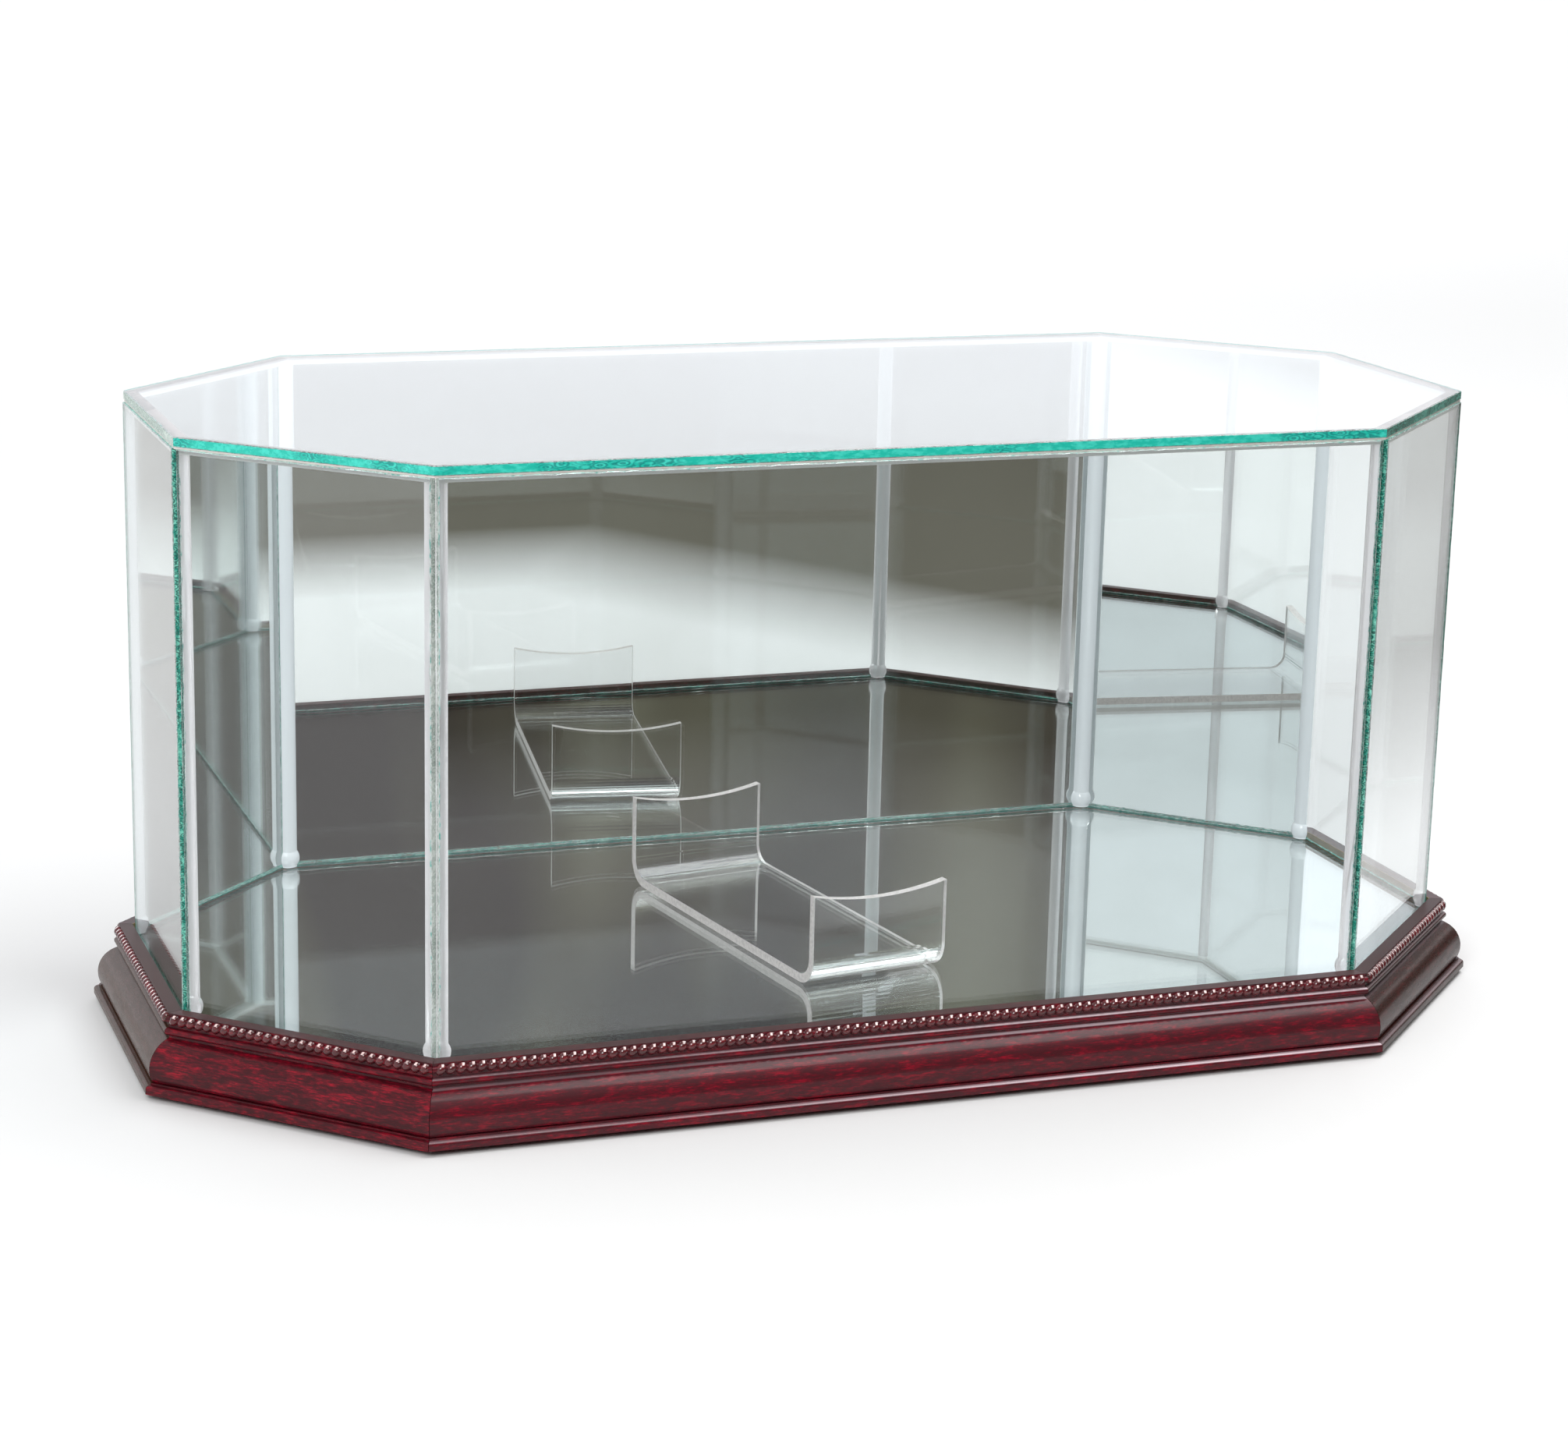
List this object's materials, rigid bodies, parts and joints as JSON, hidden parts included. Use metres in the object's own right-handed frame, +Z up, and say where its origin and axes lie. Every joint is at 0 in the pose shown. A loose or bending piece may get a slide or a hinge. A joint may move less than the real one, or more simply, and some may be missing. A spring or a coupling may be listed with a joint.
{
  "type": "glass display case",
  "caption": "Long octagonal glass display case with mirrored back and floor, moulded dark wood base, lift-off glass cover and clear acrylic cradle.",
  "frame": {"origin": "bottom centre of the whole case, on the surface it stands on, at the underside of the rubber feet", "axes": "+Z up, X along the long side with +X to the right seen from the front, +Y towards the mirrored back, so the clear front faces -Y"},
  "size_m": [0.4578, 0.2418, 0.2036],
  "materials": {
    "cherry_moulding": "satin dark red cherry lacquer with brown-black mottling",
    "fibreboard": "raw fibreboard",
    "raw_wood": "raw light wood",
    "floor_mirror": "silvered on the back, green cut edges",
    "wall_mirror": "silvered on the outer face, grey backing paint",
    "clear_glass": "clear float glass with blue-green cut edges",
    "bond_line": "whitish silicone adhesive",
    "clear_silicone": "clear glossy silicone",
    "clear_acrylic": "clear polished acrylic",
    "rubber_foot": "matt black rubber"
  },
  "bodies": {
    "base": {"rail_front": "cherry_moulding", "rail_front_right": "cherry_moulding", "rail_right": "cherry_moulding", "rail_back_right": "cherry_moulding", "rail_back": "cherry_moulding", "rail_back_left": "cherry_moulding", "rail_left": "cherry_moulding", "rail_front_left": "cherry_moulding", "base_board": "fibreboard", "floor_mirror": "floor_mirror", "corner_blocks": "raw_wood", "foot_front_left": "rubber_foot", "foot_front_right": "rubber_foot", "foot_back_left": "rubber_foot", "foot_back_right": "rubber_foot"},
    "cover": {"glass_top": "clear_glass", "glass_front": "clear_glass", "glass_front_right": "clear_glass", "glass_right": "clear_glass", "glass_left": "clear_glass", "glass_front_left": "clear_glass", "mirror_back_right": "wall_mirror", "mirror_back": "wall_mirror", "mirror_back_left": "wall_mirror", "top_bond": "bond_line", "seam_front_left": "clear_silicone", "seam_front_right": "clear_silicone", "seam_right_front": "clear_silicone", "seam_right_back": "clear_silicone", "seam_back_right": "clear_silicone", "seam_back_left": "clear_silicone", "seam_left_back": "clear_silicone", "seam_left_front": "clear_silicone"},
    "cradle": {"cradle": "clear_acrylic"}
  },
  "joints": [
    {"name": "cover_lift", "type": "slide", "parent": "base", "child": "cover", "axis": [0, 0, 1], "range_m": [0, 0.25]},
    {"name": "cradle_lift", "type": "slide", "parent": "base", "child": "cradle", "axis": [0, 0, 1], "range_m": [0, 0.12]}
  ]
}
